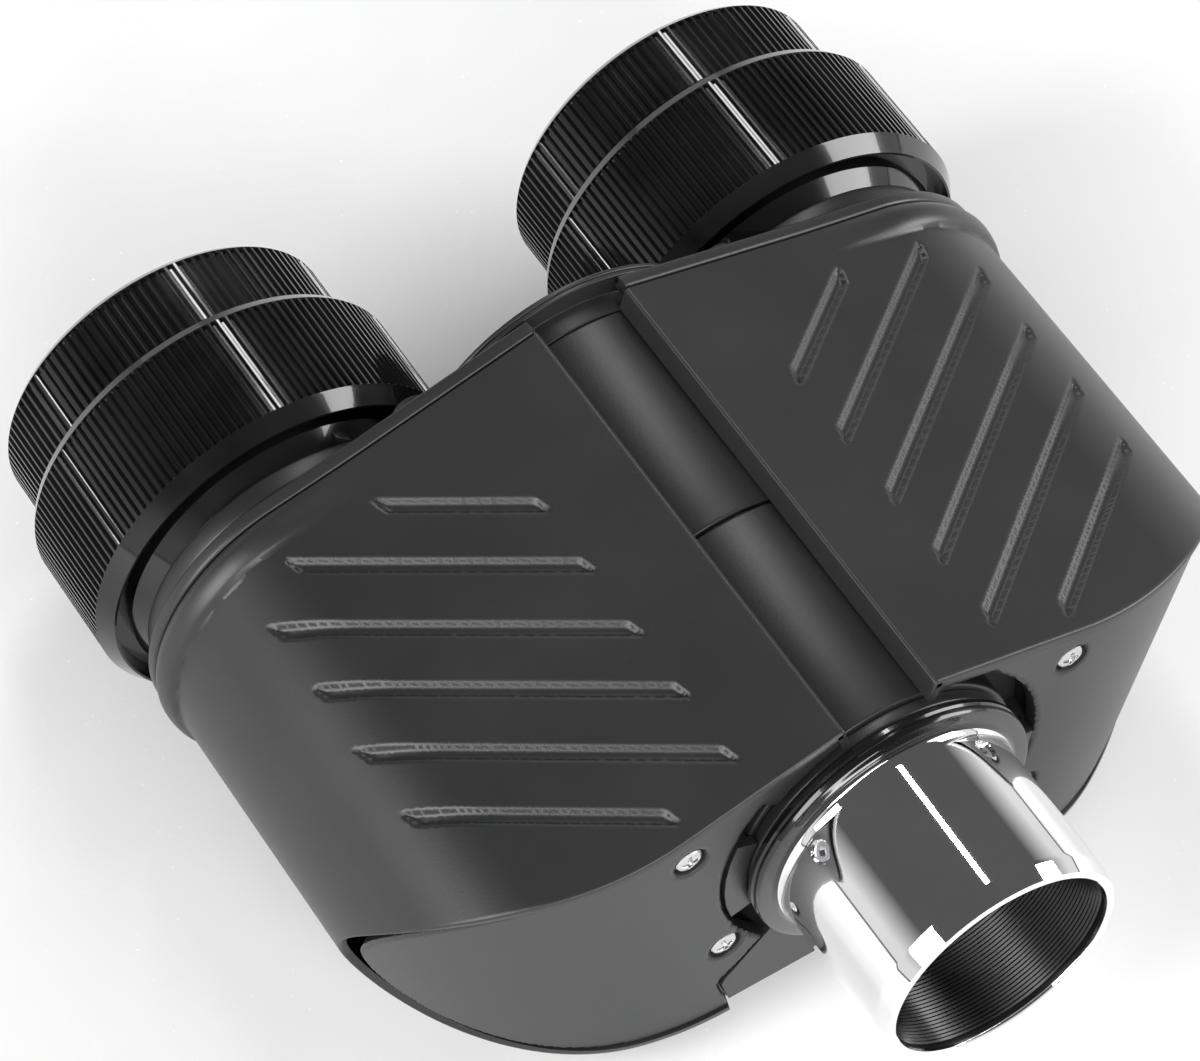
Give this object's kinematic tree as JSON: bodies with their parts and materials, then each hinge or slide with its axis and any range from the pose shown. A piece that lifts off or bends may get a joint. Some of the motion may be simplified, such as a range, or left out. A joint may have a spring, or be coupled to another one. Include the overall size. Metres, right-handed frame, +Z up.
{
  "type": "binoviewer",
  "caption": "Binocular viewer for a telescope: two prism housings hinged on a nosepiece, each with a focusing ring and an eyepiece clamp ring.",
  "frame": {"origin": "centre of the outer box on the surface that the focusing rings rest on, midway between the nosepiece mouth and the eyepiece ends", "axes": "+Y along the optical axis from the nosepiece to the eyepieces, +Z up, +X towards the half that stays with the nosepiece"},
  "size_m": [0.1236, 0.1296, 0.0574],
  "materials": {
    "body_paint": "satin dark grey stoved paint, fine texture",
    "black_anodised": "glossy black anodised, turned and knurled",
    "hub_black": "satin black",
    "matt_black": "matt black inside the light path",
    "chrome": "mirror chrome",
    "steel": "bright zinc plated",
    "brass": "turned",
    "washer_plastic": "black acetal",
    "optical_glass": "polished and coated"
  },
  "bodies": {
    "right_half": {"beam_splitter": "optical_glass", "beam_splitter_cell": "matt_black", "hinge_friction_washer": "washer_plastic", "hinge_nut": "brass", "hinge_sleeve": "brass", "hinge_wave_washer": "steel", "hub_plate": "hub_black", "nose_set_screw_1": "steel", "nose_set_screw_2": "steel", "nose_set_screw_3": "steel", "nose_set_screw_4": "steel", "nosepiece": "chrome", "nosepiece_baffle": "matt_black", "right_cover_screw_1": "steel", "right_cover_screw_2": "steel", "right_end_plate": "body_paint", "right_focus_neck": "black_anodised", "right_front_cover": "body_paint", "right_guide_pin": "steel", "right_housing": "body_paint", "right_hub_lobe": "hub_black", "right_plate_screw_1": "steel", "right_plate_screw_2": "steel", "right_prism_clip": "steel", "right_prism_seat": "matt_black", "right_ring_retainer": "steel", "right_turning_prism": "optical_glass"},
    "left_half": {"left_cover_screw_1": "steel", "left_cover_screw_2": "steel", "left_end_plate": "body_paint", "left_focus_neck": "black_anodised", "left_front_cover": "body_paint", "left_guide_pin": "steel", "left_housing": "body_paint", "left_hub_lobe": "hub_black", "left_plate_screw_1": "steel", "left_plate_screw_2": "steel", "left_prism_clip": "steel", "left_prism_seat": "matt_black", "left_rhomboid_prism": "optical_glass", "left_ring_retainer": "steel", "left_skirt": "body_paint"},
    "right_focus_ring_body": {"right_focus_ring": "black_anodised"},
    "right_eyepiece_holder": {"right_eyepiece_tube": "black_anodised", "right_clamp_collet": "brass"},
    "right_clamp_ring_body": {"right_clamp_ring": "black_anodised"},
    "left_focus_ring_body": {"left_focus_ring": "black_anodised"},
    "left_eyepiece_holder": {"left_eyepiece_tube": "black_anodised", "left_clamp_collet": "brass"},
    "left_clamp_ring_body": {"left_clamp_ring": "black_anodised"}
  },
  "joints": [
    {"name": "ipd_hinge", "type": "hinge", "parent": "right_half", "child": "left_half", "pos_m": [0, 0, 0.03598], "axis": [0, 1, 0], "range_deg": [-56, 30]},
    {"name": "right_focus_turn", "type": "hinge", "parent": "right_half", "child": "right_focus_ring_body", "pos_m": [0.0365, 0, 0.02537], "axis": [0, 1, 0], "range_deg": [-60, 240]},
    {"name": "right_focus_slide", "type": "slide", "parent": "right_half", "child": "right_eyepiece_holder", "axis": [0, 1, 0], "range_m": [-0.0009, 0.0034]},
    {"name": "right_clamp_turn", "type": "hinge", "parent": "right_eyepiece_holder", "child": "right_clamp_ring_body", "pos_m": [0.0365, 0, 0.02537], "axis": [0, 1, 0], "range_deg": [-20, 70]},
    {"name": "left_focus_turn", "type": "hinge", "parent": "left_half", "child": "left_focus_ring_body", "pos_m": [-0.0365, 0, 0.02537], "axis": [0, 1, 0], "range_deg": [-60, 240]},
    {"name": "left_focus_slide", "type": "slide", "parent": "left_half", "child": "left_eyepiece_holder", "axis": [0, 1, 0], "range_m": [-0.0009, 0.0034]},
    {"name": "left_clamp_turn", "type": "hinge", "parent": "left_eyepiece_holder", "child": "left_clamp_ring_body", "pos_m": [-0.0365, 0, 0.02537], "axis": [0, 1, 0], "range_deg": [-20, 70]}
  ],
  "couplings": [
    {"joint": "right_focus_slide", "follows": "right_focus_turn", "m_per_rad": 0.00076},
    {"joint": "left_focus_slide", "follows": "left_focus_turn", "m_per_rad": 0.00076}
  ]
}
